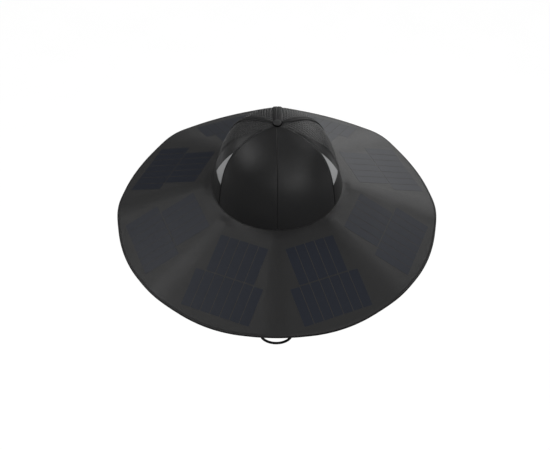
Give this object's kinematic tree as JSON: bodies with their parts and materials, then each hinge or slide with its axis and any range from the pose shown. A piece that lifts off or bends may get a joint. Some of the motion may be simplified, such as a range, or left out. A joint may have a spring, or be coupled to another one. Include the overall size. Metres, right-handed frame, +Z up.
{
  "type": "solar sun hat",
  "caption": "Wide-brimmed sun hat with blue solar cell strips on a faceted brim, a soft crown with mesh sides and a hanging chin cord.",
  "frame": {"origin": "centre of the round head opening, in the plane where the crown meets the brim", "axes": "+Z up through the top button, -Y towards the front of the hat, +X towards the right side as seen from the front"},
  "size_m": [0.4926, 0.4926, 0.4988],
  "materials": {
    "brim_cloth": "matt woven polyester, very dark grey",
    "lining_cloth": "matt woven lining, nearly black",
    "binding_cloth": "folded black edge tape with a fine rib",
    "crown_cloth": "smooth black cloth with a soft sheen",
    "mesh_cloth": "open honeycomb mesh, black",
    "tape_cloth": "ribbed black seam tape",
    "reflective_cloth": "grey reflective cloth",
    "solar_cell": "satin laminated solar cell, dark blue",
    "board": "thin fibre board",
    "copper": "flat copper conductor",
    "black_plastic": "fine moulded texture",
    "black_rubber": "soft matt rubber",
    "steel": "plain bright steel",
    "lamp_lens": "milky lens",
    "cord": "braided black cord"
  },
  "bodies": {
    "hat": {"back_band": "crown_cloth", "back_mesh_left": "mesh_cloth", "back_mesh_right": "mesh_cloth", "brim_lining": "lining_cloth", "brim_shell": "brim_cloth", "bus_ring": "copper", "button_rivet": "steel", "cells_inner_1": "solar_cell", "cells_inner_2": "solar_cell", "cells_inner_3": "solar_cell", "cells_inner_4": "solar_cell", "cells_inner_5": "solar_cell", "cells_inner_6": "solar_cell", "cells_inner_7": "solar_cell", "cells_inner_8": "solar_cell", "cells_outer_1": "solar_cell", "cells_outer_2": "solar_cell", "cells_outer_3": "solar_cell", "cells_outer_4": "solar_cell", "cells_outer_5": "solar_cell", "cells_outer_6": "solar_cell", "cells_outer_7": "solar_cell", "cells_outer_8": "solar_cell", "controller_base": "black_plastic", "controller_board": "board", "controller_lid": "black_plastic", "cord_anchor_left": "black_plastic", "cord_anchor_right": "black_plastic", "edge_binding": "binding_cloth", "front_panel_left": "crown_cloth", "front_panel_right": "crown_cloth", "lid_screw_1": "steel", "lid_screw_2": "steel", "module_board_1": "board", "module_board_2": "board", "module_board_3": "board", "module_board_4": "board", "module_board_5": "board", "module_board_6": "board", "module_board_7": "board", "module_board_8": "board", "reflector_left": "reflective_cloth", "reflector_right": "reflective_cloth", "seam_tape_back": "tape_cloth", "seam_tape_left": "tape_cloth", "seam_tape_right": "tape_cloth", "side_mesh_left": "mesh_cloth", "side_mesh_right": "mesh_cloth", "side_panel_left": "crown_cloth", "side_panel_right": "crown_cloth", "status_light": "lamp_lens", "sweatband": "lining_cloth", "top_button": "crown_cloth", "usb_a_socket": "steel", "usb_c_socket": "steel"},
    "port_cover": {"port_cover": "black_rubber"},
    "chin_cord": {"chin_cord": "cord"},
    "cord_lock": {"cord_lock_body": "black_plastic", "cord_lock_spring": "steel"},
    "lock_button": {"cord_lock_button": "black_rubber"}
  },
  "joints": [
    {"name": "chin_cord_swing", "type": "hinge", "parent": "hat", "child": "chin_cord", "pos_m": [0, -0.02, -0.00928], "axis": [1, 0, 0], "range_deg": [-50, 50]},
    {"name": "cord_lock_slide", "type": "slide", "parent": "chin_cord", "child": "cord_lock", "axis": [0, 0, 1], "range_m": [-0.012, 0.012]},
    {"name": "cord_lock_press", "type": "slide", "parent": "cord_lock", "child": "lock_button", "axis": [0, 1, 0], "range_m": [0, 0.0026], "stiffness_N_per_m": 800, "springref_m": -0.001},
    {"name": "port_cover_hinge", "type": "hinge", "parent": "hat", "child": "port_cover", "pos_m": [0.07976, 0.10711, -0.0278], "axis": [0.3528, 0.8517, -0.3875], "range_deg": [0, 110]}
  ]
}
